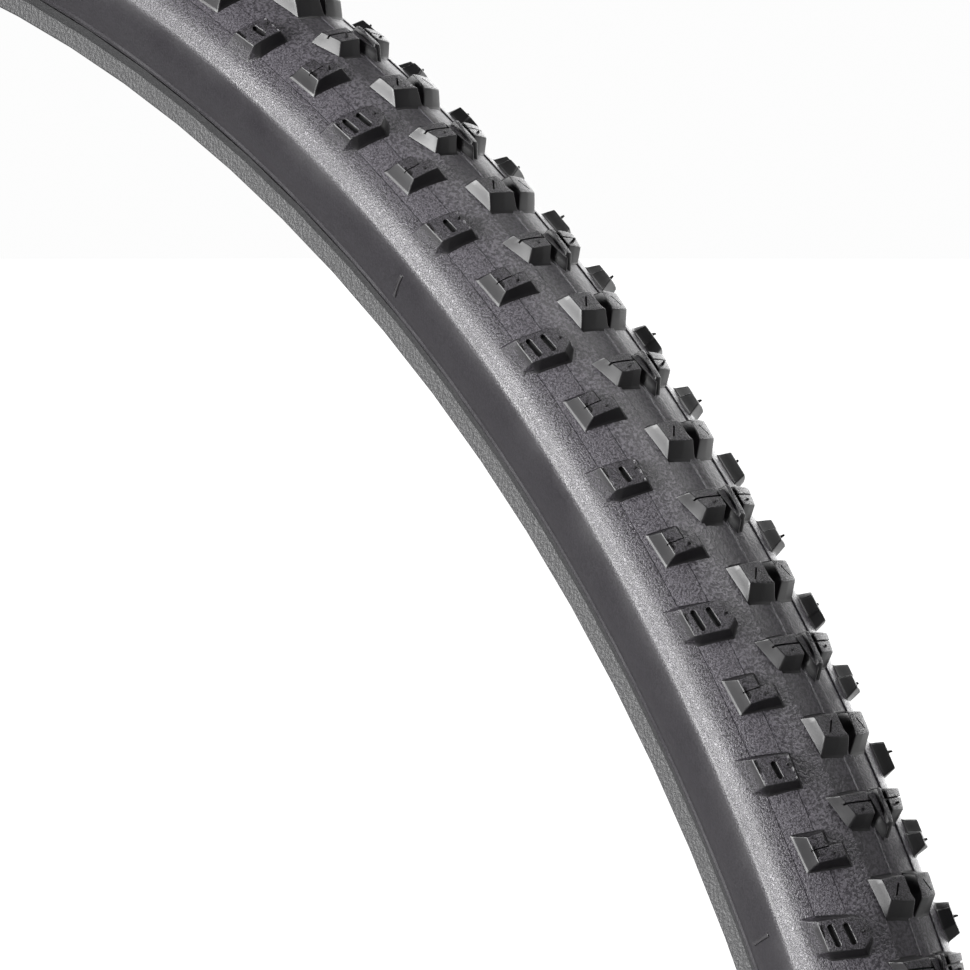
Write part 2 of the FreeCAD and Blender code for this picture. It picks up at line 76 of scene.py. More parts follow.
KNOB_PITCHES = 156
PITCH_TURN = 2 * pi / KNOB_PITCHES
PITCH = PITCH_TURN * CROWN_RADIUS
FIRST_KNOB = radians(2.27)
KNOB_HEIGHT = 2.2
LEDGE_HEIGHT = 1.6
RUBBER = 1.2
BREAKER = 0.4
RIM_LINE = 316.5
MOULD_LINE = 52.7
STEP_LINE = 37.3
RECESS_EDGE = 5.42
RIB_EDGE = 1.1
RECESS_DEPTH = 0.25


def across(angle):
    """Distance across the tread, from the middle plane, of a section angle in degrees."""
    turn = radians(abs(angle))
    if turn <= CROWN_TURN:
        reach = CROWN_ARC * turn
    elif turn <= pi / 2:
        reach = CROWN_REACH + SHOULDER_ARC * (turn - CROWN_TURN)
    else:
        reach = WIDEST_REACH + SIDEWALL_ARC * (turn - pi / 2)
    return reach if angle >= 0 else -reach


def wrapped(points, mirrored=False):
    """Flat (along, across, height) rows bent onto the tyre, in metres in the row frame."""
    points = np.asarray(points, float)
    along, reach, height = points[:, 0], points[:, 1], points[:, 2]
    far = np.abs(reach)
    crown = far <= CROWN_REACH
    wall = far > WIDEST_REACH
    turn = CROWN_TURN + (far - CROWN_REACH) / SHOULDER_ARC
    turn = np.where(crown, far / CROWN_ARC, turn)
    turn = np.where(wall, pi / 2 + (far - WIDEST_REACH) / SIDEWALL_ARC, turn)
    arc = np.where(crown, CROWN_ARC, np.where(wall, SIDEWALL_ARC, SHOULDER_ARC)) + height
    middle = np.where(crown, CROWN_CENTRE, SECTION_CENTRE)
    shift = np.where(crown | wall, 0.0, SHOULDER_OFFSET)
    radius = middle + arc * np.cos(turn)
    side = (shift + arc * np.sin(turn)) * np.sign(reach + (reach == 0))
    spin = FIRST_KNOB - along / CROWN_RADIUS
    y = side if mirrored else -side
    return np.column_stack([radius * np.cos(spin), y, radius * np.sin(spin)]) * MM


STEP = across(STEP_LINE)
MOULD = across(MOULD_LINE)
RIM_REACH = WIDEST_REACH + SIDEWALL_ARC * asin((SECTION_CENTRE - RIM_LINE) / SIDEWALL_ARC)
SMOOTH_START = across(87.6)

# ---------------------------------------------------------------- meshes

def new_piece(name, vertices, faces, material, stands_for, sharp=35, uv=None, grain=None):
    """A mesh object in the row frame that rides on the tyre and stands for CAD nodes."""
    mesh = bpy.data.meshes.new(name)
    mesh.from_pydata([tuple(v) for v in vertices], [], [tuple(f) for f in faces])
    mesh.validate()
    if uv is not None:
        layer = mesh.uv_layers.new(name="section")
        layer.data.foreach_set("uv", np.asarray(uv, np.float32).ravel())
    if grain is not None:
        mesh.attributes.new("grain", "FLOAT", "POINT").data.foreach_set("value", grain)
    mesh.polygons.foreach_set("use_smooth", [True] * len(mesh.polygons))
    mesh.set_sharp_from_angle(angle=radians(sharp))
    mesh.materials.append(material)
    piece = bpy.data.objects.new(name, mesh)
    bpy.context.scene.collection.objects.link(piece)
    weighted = piece.modifiers.new("even_shading", "WEIGHTED_NORMAL")
    weighted.keep_sharp = True
    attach(piece, "root")
    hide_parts(*stands_for)
    return piece


SEGMENTS = KNOB_PITCHES * 4


def ring(name, section, material, stands_for, mirrored=False, sharp=35):
    """A closed section of (across, height) points turned once round the tyre."""
    section = np.asarray(section, float)
    count = len(section)
    step = 2 * pi * CROWN_RADIUS / SEGMENTS
    rows = [np.column_stack([np.full(count, step * turn), section]) for turn in range(SEGMENTS)]
    vertices = wrapped(np.vstack(rows), mirrored)
    lengths = np.concatenate([[0.0], np.cumsum(np.hypot(*np.diff(section, axis=0).T))])
    edge_v = np.append(section[:, 0], section[0, 0])
    edge_v[lengths.searchsorted(lengths[-1]) + 1:] = section[0, 0]
    faces = []
    uv = []
    for turn in range(SEGMENTS):
        here = turn * count
        there = (turn + 1) % SEGMENTS * count
        for index in range(count):
            after = (index + 1) % count
            corners = [(here + index, turn, index), (there + index, turn + 1, index),
                       (there + after, turn + 1, index + 1), (here + after, turn, index + 1)]
            if mirrored:
                corners.reverse()
            faces.append([corner[0] for corner in corners])
            uv += [(corner[1] / 4, edge_v[corner[2]]) for corner in corners]
    return new_piece(name, vertices, faces, material, stands_for, sharp, uv)


def offset(outline, distance):
    """The outline moved outward by a distance, with mitred corners. It runs anticlockwise."""
    moved = []
    count = len(outline)
    for index in range(count):
        x0, y0 = outline[index - 1]
        x1, y1 = outline[index]
        x2, y2 = outline[(index + 1) % count]
        before = hypot(x1 - x0, y1 - y0)
        after = hypot(x2 - x1, y2 - y1)
        n0 = ((y1 - y0) / before, -(x1 - x0) / before)
        n1 = ((y2 - y1) / after, -(x2 - x1) / after)
        share = distance / max(0.35, 1 + n0[0] * n1[0] + n0[1] * n1[1])
        moved.append((x1 + (n0[0] + n1[0]) * share, y1 + (n0[1] + n1[1]) * share))
    return moved


CORNER_STEPS = 3


def rounded(outline, radius, divisions):
    """The outline with its corners rounded and its sides divided, always with as many points."""
    points = []
    count = len(outline)
    starts = []
    for index in range(count):
        x0, y0 = outline[index - 1]
        x1, y1 = outline[index]
        x2, y2 = outline[(index + 1) % count]
        before = hypot(x1 - x0, y1 - y0)
        after = hypot(x2 - x1, y2 - y1)
        cut = min(radius, 0.4 * before, 0.4 * after)
        first = (x1 + (x0 - x1) / before * cut, y1 + (y0 - y1) / before * cut)
        last = (x1 + (x2 - x1) / after * cut, y1 + (y2 - y1) / after * cut)
        starts.append((first, (x1, y1), last))
    for index in range(count):
        first, corner, last = starts[index]
        for step in range(CORNER_STEPS + 1):
            t = step / CORNER_STEPS
            a, b, c = (1 - t) ** 2, 2 * t * (1 - t), t * t
            points.append((first[0] * a + corner[0] * b + last[0] * c,
                           first[1] * a + corner[1] * b + last[1] * c))
        following = starts[(index + 1) % count][0]
        for step in range(1, divisions[index]):
            t = step / divisions[index]
            points.append((last[0] + (following[0] - last[0]) * t,
                           last[1] + (following[1] - last[1]) * t))
    return points


def inside(point, outline):
    x, y = point
    found = False
    for (x0, y0), (x1, y1) in zip(outline, outline[1:] + outline[:1]):
        if (y0 > y) != (y1 > y) and x < (x1 - x0) * (y - y0) / (y1 - y0) + x0:
            found = not found
    return found


def filled(outline, holes=(), spacing=0.9):
    """Triangles that fill an outline round its holes: (points, triangles). The outline's points
    come first, then the holes', then the inner ones."""
    points = list(outline)
    edges = [(i, (i + 1) % len(outline)) for i in range(len(outline))]
    for hole in holes:
        start = len(points)
        points += list(hole)
        edges += [(start + i, start + (i + 1) % len(hole)) for i in range(len(hole))]
    xs, ys = [p[0] for p in outline], [p[1] for p in outline]
    clear = offset(list(outline), -0.3 * spacing)
    kept_off = [offset(list(hole), 0.3 * spacing) for hole in holes]
    x = min(xs) + spacing / 2
    while x < max(xs):
        y = min(ys) + spacing / 2
        while y < max(ys):
            if inside((x, y), clear) and not any(inside((x, y), hole) for hole in kept_off):
                points.append((x, y))
            y += spacing
        x += spacing
    made = delaunay_2d_cdt([Vector(p) for p in points], edges, [], 0, 1e-5)
    original = [indices[0] for indices in made[3]]
    triangles = []
    for face in made[2]:
        corners = [original[i] for i in face]
        middle = (sum(points[i][0] for i in corners) / 3, sum(points[i][1] for i in corners) / 3)
        if inside(middle, list(outline)) and not any(inside(middle, list(hole)) for hole in holes):
            (ax, ay), (bx, by), (cx, cy) = (points[i] for i in corners)
            if (bx - ax) * (cy - ay) - (by - ay) * (cx - ax) < 0:
                corners.reverse()
            triangles.append(corners)
    return points, triangles


class Solid:
    """A closed shape in flat places, built ring by ring."""

    def __init__(self):
        self.vertices = []
        self.faces = []

    def ring(self, outline, height):
        start = len(self.vertices)
        self.vertices += [(x, y, height) for x, y in outline]
        return list(range(start, start + len(outline)))

    def bridge(self, low, high):
        count = len(low)
        for i in range(count):
            j = (i + 1) % count
            self.faces.append((low[i], low[j], high[j], high[i]))

    def cap(self, edge, outline, height, holes=(), upward=True):
        """Fills between a ring and the rings of its holes, given as (indices, outline)."""
        points, triangles = filled(outline, [hole[1] for hole in holes])
        indices = list(edge)
        for hole in holes:
            indices += hole[0]
        start = len(self.vertices)
        extra = points[len(indices):]
        self.vertices += [(x, y, height) for x, y in extra]
        indices += range(start, start + len(extra))
        for triangle in triangles:
            corners = [indices[i] for i in triangle]
            self.faces.append(tuple(corners if upward else corners[::-1]))


def stadium(start, end, width):
    """A slot's outline: straight sides and round ends."""
    angle = atan2(end[1] - start[1], end[0] - start[0])
    points = []
    for centre, base in ((end, angle - pi / 2), (start, angle + pi / 2)):
        for step in range(7):
            turn = base + pi * step / 6
            points.append((centre[0] + width / 2 * cos(turn), centre[1] + width / 2 * sin(turn)))
    return points


def flat(table):
    """Corners given as (pitches, section angle) in flat millimetres, anticlockwise."""
    outline = [(pitches * PITCH, across(angle)) for pitches, angle in table]
    area = sum(x0 * y1 - x1 * y0 for (x0, y0), (x1, y1) in zip(outline, outline[1:] + outline[:1]))
    return outline if area > 0 else outline[::-1]


EDGE = 0.14
SLOT_DEPTH = 0.6
SINK = 0.16


def knob(foot, crest, slots=(), corner=0.28, ground=0.0, top=KNOB_HEIGHT):
    """A moulded knob: a small fillet at its foot, leaning walls, rounded edges, slots in its top.

    foot and crest are (pitches, section angle) corners. ground is the tread's height round it."""
    foot = flat(foot)
    crest = flat(crest)
    divisions = []
    for index, (x0, y0) in enumerate(foot):
        x1, y1 = foot[(index + 1) % len(foot)]
        divisions.append(max(1, ceil(hypot(x1 - x0, y1 - y0) / 1.3)))

    def wall(height):
        share = height / top
        return [(x0 + (x1 - x0) * share, y0 + (y1 - y0) * share)
                for (x0, y0), (x1, y1) in zip(foot, crest)]

    fillet = [(0.36, 0.0), (0.18, 0.03), (0.06, 0.13), (0.0, 0.32)]
    levels = [(offset(wall(ground + rise), width), ground + rise) for width, rise in fillet]
    levels[0] = (levels[0][0], ground - SINK)
    levels += [
        (wall(0.5 * top), 0.5 * top), (wall(top - EDGE), top - EDGE),
        (offset(wall(top - 0.4 * EDGE), -0.25 * EDGE), top - 0.35 * EDGE),
        (offset(crest, -EDGE), top),
    ]
    solid = Solid()
    outlines = [(rounded(outline, corner, divisions), height) for outline, height in levels]
    rings = [solid.ring(outline, height) for outline, height in outlines]
    solid.cap(rings[0], outlines[0][0], ground - SINK, upward=False)
    for low, high in zip(rings, rings[1:]):
        solid.bridge(low, high)
    holes = []
    for start, end, width, depth in slots:
        ends = [(start[0] * PITCH, across(start[1])), (end[0] * PITCH, across(end[1]))]
        outline = stadium(*ends, width)
        mouth = offset(outline, 0.08)
        steps = [(mouth, top), (outline, top - 0.08),
                 (offset(outline, -0.02), top - depth + 0.1), (offset(outline, -0.07), top - depth)]
        down = [solid.ring(shape, height) for shape, height in steps]
        for high, low in zip(down, down[1:]):
            solid.bridge(high, low)
        solid.faces.append(tuple(down[-1]))
        holes.append((down[0], mouth))
    solid.cap(rings[-1], outlines[-1][0], top, holes)
    return solid


def with_sipe(solid, start, end, width, depth=SLOT_DEPTH):
    """The knob with a thin cut across it, from its top down."""
    low = np.array([start[0] * PITCH, across(start[1])])
    high = np.array([end[0] * PITCH, across(end[1])])
    run = (high - low) / np.linalg.norm(high - low)
    side = np.array([-run[1], run[0]]) * width / 2
    base = [low - side, high - side, high + side, low + side]
    tool = Solid()
    outline = [tuple(p) for p in base]
    tool.vertices = [(x, y, KNOB_HEIGHT - depth) for x, y in outline]
    tool.vertices += [(x, y, KNOB_HEIGHT + 1) for x, y in outline]
    tool.faces = [(3, 2, 1, 0), (4, 5, 6, 7)]
    tool.faces += [(i, (i + 1) % 4, (i + 1) % 4 + 4, i + 4) for i in range(4)]
    objects = []
    for part in (solid, tool):
        mesh = bpy.data.meshes.new("cut")
        mesh.from_pydata(part.vertices, [], part.faces)
        objects.append(bpy.data.objects.new("cut", mesh))
        bpy.context.scene.collection.objects.link(objects[-1])
    cut = objects[0].modifiers.new("cut", "BOOLEAN")
    cut.operation = "DIFFERENCE"
    cut.solver = "EXACT"
    cut.object = objects[1]
    done = objects[0].evaluated_get(bpy.context.evaluated_depsgraph_get()).to_mesh()
    result = Solid()
    result.vertices = [tuple(v.co) for v in done.vertices]
    result.faces = [tuple(p.vertices) for p in done.polygons]
    for item in objects:
        data = item.data
        bpy.data.objects.remove(item)
        bpy.data.meshes.remove(data)
    return result


def repeated(name, solid, every, first, mirrored, material, stands_for):
    """Copies of one knob right round the tyre, as one piece."""
    flat_points = np.array(solid.vertices)
    # Marks the knob's top, and anything past the mould line, for grain and the light colour. The rest
    # of the knob, its walls, foot and slots, takes the dark pore colour, which is painted shade.
    top_grain_wall_shade = (flat_points[:, 2] > flat_points[:, 2].max() - 0.02) | (flat_points[:, 1] > MOULD)
    count = KNOB_PITCHES // every
    vertices = []
    faces = []
    for turn in range(count):
        moved = flat_points + [(first + every * turn) * PITCH, 0, 0]
        vertices.append(wrapped(moved, mirrored))
        start = turn * len(flat_points)
        for face in solid.faces:
            corners = [start + i for i in face]
            faces.append(corners[::-1] if mirrored else corners)
    grain = np.tile(top_grain_wall_shade.astype(np.float32), count)
    return new_piece(name, np.vstack(vertices), faces, material, stands_for, grain=grain)


# ---------------------------------------------------------------- materials

def ramp(tree, value, low, high, to_low, to_high):
    """A value that runs evenly from one number to another between two limits."""
    node = tree.nodes.new("ShaderNodeMapRange")
    tree.links.new(value, node.inputs["Value"])
    numbers = {"From Min": low, "From Max": high, "To Min": to_low, "To Max": to_high}
    for socket, number in numbers.items():
        node.inputs[socket].default_value = number
    return node.outputs["Result"]


def axes(tree, output):
    """The three coordinates of a place or a direction."""
    node = tree.nodes.new("ShaderNodeSeparateXYZ")
    tree.links.new(tree.nodes.new("ShaderNodeTexCoord").outputs[output], node.inputs[0])
    return node.outputs


class Nodes:
    """Short forms for building one material's node tree."""

    def __init__(self, name):
        self.material = bpy.data.materials.new(name)
        self.material.use_nodes = True
        self.tree = self.material.node_tree
        self.shader = self.tree.nodes["Principled BSDF"]

    def add(self, kind, **settings):
        node = self.tree.nodes.new(kind)
        for key, value in settings.items():
            setattr(node, key, value)
        return node

    def link(self, source, target):
        self.tree.links.new(source, target)

    def math(self, operation, a, b=None):
        node = self.add("ShaderNodeMath", operation=operation)
        for socket, value in zip(node.inputs, (a, b)):
            if value is None:
                continue
            if isinstance(value, (int, float)):
                socket.default_value = value
            else:
                self.link(value, socket)
        return node.outputs[0]

    def noise(self, where, scale, detail=2.0, roughness=0.5):
        node = self.add("ShaderNodeTexNoise")
        self.link(where, node.inputs["Vector"])
        node.inputs["Scale"].default_value = scale
        node.inputs["Detail"].default_value = detail
        node.inputs["Roughness"].default_value = roughness
        return node.outputs["Fac"]

    def remap(self, value, low, high, to_low, to_high):
        return ramp(self.tree, value, low, high, to_low, to_high)

    def mix(self, share, a, b):
        node = self.add("ShaderNodeMix", data_type="RGBA")
        self.link(share, node.inputs["Factor"])
        node.inputs[6].default_value = (*a, 1)
        node.inputs[7].default_value = (*b, 1)
        return node.outputs[2]


def rubber(name, dark, light, rough, grain=0.0, grain_size=0.3, wear=0.0, zones=None):
    """Moulded rubber: a pebbled grain, uneven sheen and dust in its pores.

    grain is a height in millimetres. It follows the tread's bands or a knob's top where asked. On a
    knob, the walls, foot and slots below its top get no grain, and only the dark pore colour, which
    is painted shade."""
    n = Nodes(name)
    where = n.add("ShaderNodeTexCoord").outputs["Object"]
    cell = 1 / (grain_size * MM)
    fine = n.remap(n.noise(where, cell, 2.0, 0.65), 0.40, 0.62, 0.0, 1.0)
    broad = n.noise(where, 60, 3.0, 0.55)
    tone = fine
    share = None
    if zones == "bands":
        spot = n.add("ShaderNodeUVMap", uv_map="section").outputs["UV"]
        split = n.add("ShaderNodeSeparateXYZ")
        n.link(spot, split.inputs[0])
        reach = split.outputs["Y"]
        coarse = n.remap(n.noise(where, cell * 0.55, 2.0, 0.6), 0.42, 0.60, 0.0, 1.0)
        inner = n.remap(reach, STEP - 0.15, STEP + 0.15, 0.75, 0.15)
        tone = n.math("ADD", n.math("MULTIPLY", coarse, inner),
                      n.math("MULTIPLY", fine, n.math("SUBTRACT", 1.0, inner)))
        smooth_band = n.remap(reach, RECESS_EDGE, RECESS_EDGE + 0.3, 0.5, 1.0)
        outer_band = n.remap(reach, across(84), across(92), 1.0, 0.15)
        share = n.math("MULTIPLY", smooth_band, outer_band)
    # On a knob the share is the marked top. The walls, foot and slots fall to the dark colour, which
    # is painted shade, and lose their grain.
    if zones == "top":
        share = n.add("ShaderNodeAttribute", attribute_name="grain").outputs["Fac"]
    height = n.math("MULTIPLY", tone, grain)
    if share is not None:
        height = n.math("MULTIPLY", height, share)
        tone = n.math("MULTIPLY", tone, share)
    bump = n.add("ShaderNodeBump")
    bump.inputs["Distance"].default_value = MM
    bump.inputs["Strength"].default_value = 1.0
    n.link(height, bump.inputs["Height"])
    n.link(bump.outputs[0], n.shader.inputs["Normal"])
    n.link(n.mix(tone, dark, light), n.shader.inputs["Base Color"])
    worn = n.remap(broad, 0.3, 0.7, -0.03 - wear, 0.03 + wear)
    sheen = n.math("ADD", n.remap(tone, 0.0, 1.0, 0.03, -0.05), worn)
    n.link(n.math("ADD", sheen, rough), n.shader.inputs["Roughness"])
    n.shader.inputs["Specular IOR Level"].default_value = 0.5
    return n.material


# Each rubber: its colour in the pores and on the grain, its roughness, then grain height and size,
# wear and zones.
# The knob rubber's pore colour is also painted shade on the knob walls, feet and slots.
KNOB_RUBBER = rubber(
    "knob_rubber", (0.006, 0.0055, 0.0065), (0.050, 0.046, 0.054), 0.36, 0.030, 0.26, 0.04, "top")
TREAD_RUBBER = rubber(
    "tread_rubber", (0.016, 0.014, 0.018), (0.105, 0.098, 0.112), 0.40, 0.042, 0.28, 0.03, "bands")
SIDE_RUBBER = rubber(
    "sidewall_rubber", (0.009, 0.008, 0.010), (0.090, 0.084, 0.096), 0.32, 0.035, 0.28, 0.04, "bands")
SMOOTH_RUBBER = rubber(
    "smooth_rubber", (0.022, 0.021, 0.023), (0.032, 0.030, 0.033), 0.38, 0.012, 0.35, 0.05)
CHAFER_RUBBER = rubber(
    "chafer_rubber", (0.018, 0.018, 0.019), (0.030, 0.030, 0.031), 0.5, 0.05, 0.6)
LINER_RUBBER = rubber(
    "liner_rubber", (0.035, 0.034, 0.034), (0.060, 0.058, 0.056), 0.6, 0.04, 1.2)


def cloth(name, dark, light, thread):
    """Rubbered cord fabric: two crossing sets of threads, given by their spacing in millimetres."""
    n = Nodes(name)
    where = n.add("ShaderNodeTexCoord").outputs["Object"]
    heights = []
    for turn in (45, -45):
        wave = n.add("ShaderNodeTexWave", wave_type="BANDS", bands_direction="X")
        mapping = n.add("ShaderNodeMapping")
        mapping.inputs["Rotation"].default_value = (0.0, radians(turn), 0.0)
        n.link(where, mapping.inputs["Vector"])
        n.link(mapping.outputs[0], wave.inputs["Vector"])
        wave.inputs["Scale"].default_value = 0.314 / (thread * MM)
        heights.append(wave.outputs["Fac"])
    weave = n.math("MAXIMUM", *heights)
    bump = n.add("ShaderNodeBump")
    bump.inputs["Distance"].default_value = 0.08 * MM
    n.link(weave, bump.inputs["Height"])
    n.link(bump.outputs[0], n.shader.inputs["Normal"])
    n.link(n.mix(weave, dark, light), n.shader.inputs["Base Color"])
    n.shader.inputs["Roughness"].default_value = 0.75
    return n.material


PLY_CLOTH = cloth("ply_cloth", (0.05, 0.045, 0.04), (0.12, 0.11, 0.09), 0.45)
BREAKER_CLOTH = cloth("breaker_cloth", (0.06, 0.05, 0.03), (0.30, 0.24, 0.10), 0.8)
BEAD_CORD = cloth("bead_cord", (0.20, 0.15, 0.05), (0.50, 0.40, 0.16), 0.5)
FILLER_RUBBER = rubber("filler_rubber", (0.016, 0.016, 0.016), (0.024, 0.024, 0.024), 0.6, 0.02, 0.8)

# ---------------------------------------------------------------- CAD pieces that stay
FINISHES = {
    "casing_ply_outer": PLY_CLOTH,
    "casing_ply_inner": PLY_CLOTH,
    "breaker_belt": BREAKER_CLOTH,
    "inner_liner": LINER_RUBBER,
    "bead_core_left": BEAD_CORD,
    "bead_core_right": BEAD_CORD,
    "bead_filler_left": FILLER_RUBBER,
    "bead_filler_right": FILLER_RUBBER,
    "chafer_left": CHAFER_RUBBER,
    "chafer_right": CHAFER_RUBBER,
}
for node, material in FINISHES.items():
    for slot in nodes[node].material_slots:
        slot.material = material

# ---------------------------------------------------------------- tread, shoulders and sidewalls

def line_groove(reach, width, depth):
    """Section points of a fine moulded line."""
    flat_half = width * 0.35
    return [(reach - width, 0.0), (reach - flat_half, -depth), (reach + flat_half, -depth),
            (reach + width, 0.0)]


def stretch(start, end, spacing, height=0.0):
    """Evenly spaced section points from start up to, and without, end."""
    count = max(1, round(abs(end - start) / spacing))
    return [(start + (end - start) * i / count, height) for i in range(count)]


def under(start, end, depth, spacing=1.6):
    return [(reach, -depth) for reach, _ in stretch(start, end, spacing)] + [(end, -depth)]


def tread_shoulder(side):
    """Tread base from the smooth centre strip to the mould line."""
    top = [(RECESS_EDGE, -RECESS_DEPTH), (RECESS_EDGE + 0.08, -0.06), (RECESS_EDGE + 0.22, 0.0)]
    top += stretch(RECESS_EDGE + 0.7, STEP - 0.5, 0.7) + line_groove(STEP, 0.08, 0.12)
    top += stretch(STEP + 0.6, MOULD - 0.3, 0.6) + [(MOULD - 0.09, 0.0), (MOULD - 0.02, -0.10)]
    section = top + under(MOULD - 0.02, RECESS_EDGE, RUBBER)
    return ring(f"tread_base_{side}", section, TREAD_RUBBER, [f"tread_shoulder_{side}"],
                side == "right", 40)


def sidewall(side):
    """Casing rubber from the mould line to the rim, with the smooth band and the rim line rib."""
    top = [(MOULD - 0.02, -0.10), (MOULD + 0.04, -0.02), (MOULD + 0.10, 0.0)]
    top += stretch(MOULD + 0.6, SMOOTH_START - 0.4, 0.6)
    top += [(SMOOTH_START - 0.25, 0.0), (SMOOTH_START, 0.05), (SMOOTH_START + 0.3, 0.06)]
    rib = RIM_REACH - 1.45
    top += stretch(SMOOTH_START + 0.8, rib - 1.0, 0.6, 0.06)
    top += [(rib - 0.7, 0.06), (rib - 0.45, 0.12), (rib - 0.2, 0.38), (rib + 0.05, 0.45)]
    top += [(rib + 0.25, 0.36), (rib + 0.45, 0.08), (rib + 0.7, 0.0)]
    top += [(RIM_REACH - 0.3, 0.0), (RIM_REACH, -0.1)]
    section = top + under(RIM_REACH, MOULD - 0.02, RUBBER)
    return ring(f"casing_side_{side}", section, SIDE_RUBBER, [f"sidewall_{side}"],
                side == "right", 40)


def centre_strip():
    """The smooth recess along the crown, with its rib."""
    half = [(RIB_EDGE - 0.12, 0.0), (RIB_EDGE, -0.04), (RIB_EDGE + 0.1, -RECESS_DEPTH + 0.04),
            (RIB_EDGE + 0.22, -RECESS_DEPTH)]
    half += stretch(RIB_EDGE + 0.8, RECESS_EDGE, 0.75, -RECESS_DEPTH) + [(RECESS_EDGE, -RECESS_DEPTH)]
    mirrored = [(-reach, height) for reach, height in half[::-1]]
    section = mirrored + [(0.0, 0.02)] + half + under(RECESS_EDGE, -RECESS_EDGE, RUBBER - BREAKER)
    return ring("crown_strip", section, TREAD_RUBBER, ["tread_centre_strip"])


centre_strip()
for side in ("left", "right"):
    tread_shoulder(side)
    sidewall(side)

# ---------------------------------------------------------------- knobs
SLOT = 0.75
SIPE = 0.30
FLOOR = -RECESS_DEPTH

single_slot = knob(
    [(-0.434, 34.2), (-0.003, 34.7), (-0.053, 52.1), (-0.152, 59.7), (-0.583, 63.3), (-0.548, 52.8)],
    [(-0.393, 36.1), (-0.057, 36.4), (-0.111, 47.8), (-0.127, 51.4), (-0.488, 52.1), (-0.466, 48.2)],
    [((-0.342, 44.2), (-0.171, 43.7), SLOT, SLOT_DEPTH)],
)
double_slot = knob(
    [(-0.321, 29.6), (-0.08, 29.3), (0.062, 34.2), (-0.018, 51.8), (-0.14, 59.7), (-0.573, 63.3),
     (-0.548, 52.8), (-0.424, 34.1)],
    [(-0.312, 31.3), (-0.106, 31.0), (-0.002, 36.2), (-0.065, 48.2), (-0.087, 51.7), (-0.467, 52.3),
     (-0.448, 48.2), (-0.383, 35.6)],
    [((-0.318, 40.8), (-0.107, 39.9), SLOT, SLOT_DEPTH),
     ((-0.36, 47.7), (-0.135, 46.9), SLOT, SLOT_DEPTH)],
)
stepped = with_sipe(knob(
    [(-0.253, 26.1), (0.03, 25.8), (-0.055, 48.1), (-0.515, 49.2), (-0.459, 33.5), (-0.283, 33.1)],
    [(-0.23, 29.0), (-0.059, 28.9), (-0.082, 42.3), (-0.413, 43.1), (-0.405, 35.8), (-0.238, 35.5)],
), (-0.232, 35.1), (-0.244, 43.6), 0.2)
chevron = with_sipe(knob(
    [(-0.771, 3.6), (-0.50, 3.3), (-0.235, 0.5), (-0.265, 9.1), (-0.294, 17.6), (-0.782, 20.1)],
    [(-0.694, 3.8), (-0.474, 3.5), (-0.399, 2.1), (-0.405, 7.9), (-0.444, 15.9), (-0.71, 16.9)],
    ground=FLOOR,
), (-0.625, 8.7), (-0.484, 12.4), SIPE)
split_block = with_sipe(knob(
    [(-0.802, 6.9), (-0.342, 6.6), (-0.356, 11.8), (-0.395, 19.5), (-0.813, 25.1)],
    [(-0.725, 6.2), (-0.464, 6.0), (-0.468, 10.6), (-0.48, 16.9), (-0.745, 21.4)],
    ground=FLOOR,
), (-0.602, 2.9), (-0.649, 24.2), SIPE)
centre_bar = knob(
    [(-0.79, -5.6), (-0.32, -5.4), (-0.191, -3.7), (-0.20, -2.0), (-0.31, 0.3), (-0.78, -0.4)],
    [(-0.747, -3.8), (-0.40, -3.8), (-0.32, -3.0), (-0.322, -1.2), (-0.335, -0.1), (-0.745, -0.8)],
    corner=0.18, ground=FLOOR,
)
centre_ledge = knob(
    [(-0.785, 5.6), (-0.381, 3.6), (-0.167, 0.8), (-0.21, -1.4), (-0.76, -1.6)],
    [(-0.716, 4.5), (-0.35, 1.0), (-0.29, 0.0), (-0.30, -1.4), (-0.72, -1.6)],
    corner=0.15, ground=FLOOR, top=LEDGE_HEIGHT,
)

ROWS = [
    ("shoulder_single", single_slot, 4, 0, "shoulder_knobs_single_slot"),
    ("shoulder_double", double_slot, 4, 2, "shoulder_knobs_double_slot"),
    ("shoulder_stepped", stepped, 2, 1, "shoulder_knobs_stepped"),
    ("chevron", chevron, 2, 0, "chevron_knobs"),
    ("split_block", split_block, 2, 1, "split_block_knobs"),
]
for name, solid, every, first, node in ROWS:
    for side in ("left", "right"):
        repeated(f"{name}_{side}", solid, every, first, side == "right", KNOB_RUBBER,
                 [f"{node}_{side}"])
for name, solid in (("centre_bar", centre_bar), ("centre_ledge", centre_ledge)):
    repeated(name, solid, 2, 1, False, KNOB_RUBBER, ["centre_bar_knobs"])

# ---------------------------------------------------------------- vent hairs and position ticks
VENT_RADIUS = 0.28
VENT_LENGTH = 1.3
HAIR_SIDES = 8
HAIRS = [(4, 0, -0.273, 38.3), (4, 2, -0.202, 34.3), (2, 1, -0.142, 34.3), (2, 1, -0.547, 11.8)]


